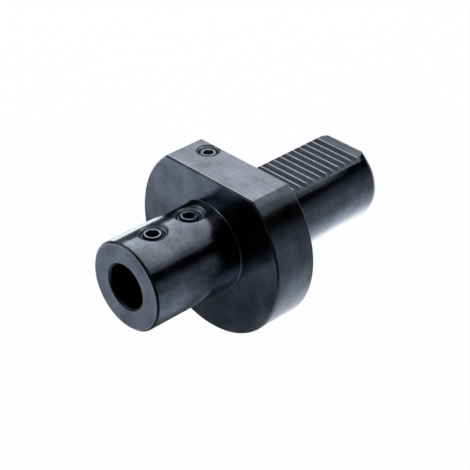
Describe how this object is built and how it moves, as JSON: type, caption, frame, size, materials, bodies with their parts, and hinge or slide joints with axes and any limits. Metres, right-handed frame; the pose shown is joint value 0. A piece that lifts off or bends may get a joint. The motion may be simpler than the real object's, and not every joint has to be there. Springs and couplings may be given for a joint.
{
  "type": "vdi tool holder",
  "caption": "Turret tool holder with a serrated round shank, a flange with one flat, and a round nose with a tool bore and set screws on top.",
  "frame": {"origin": "on the tool axis, in the plane of the flange's contact face", "axes": "-Y out of the nose towards the tool, +Y along the shank into the turret, +Z towards the serrations, the flange's flat and the clamp screws"},
  "size_m": [0.083, 0.13, 0.074],
  "materials": {
    "black_oxide_steel": "satin black oxide, faintly bluish",
    "screw_steel": "black oxide, bare on the socket's rim",
    "ring_rubber": "matt"
  },
  "bodies": {
    "holder": {"holder_body": "black_oxide_steel", "coolant_port_screw": "screw_steel", "shank_sealing_ring": "ring_rubber"},
    "front_screw": {"clamp_screw_front": "screw_steel"},
    "rear_screw": {"clamp_screw_rear": "screw_steel"}
  },
  "joints": [
    {"name": "front_screw_travel", "type": "slide", "parent": "holder", "child": "front_screw", "axis": [0, 0, 1], "range_m": [-0.003, 0.003]},
    {"name": "rear_screw_travel", "type": "slide", "parent": "holder", "child": "rear_screw", "axis": [0, 0, 1], "range_m": [-0.003, 0.003]}
  ]
}
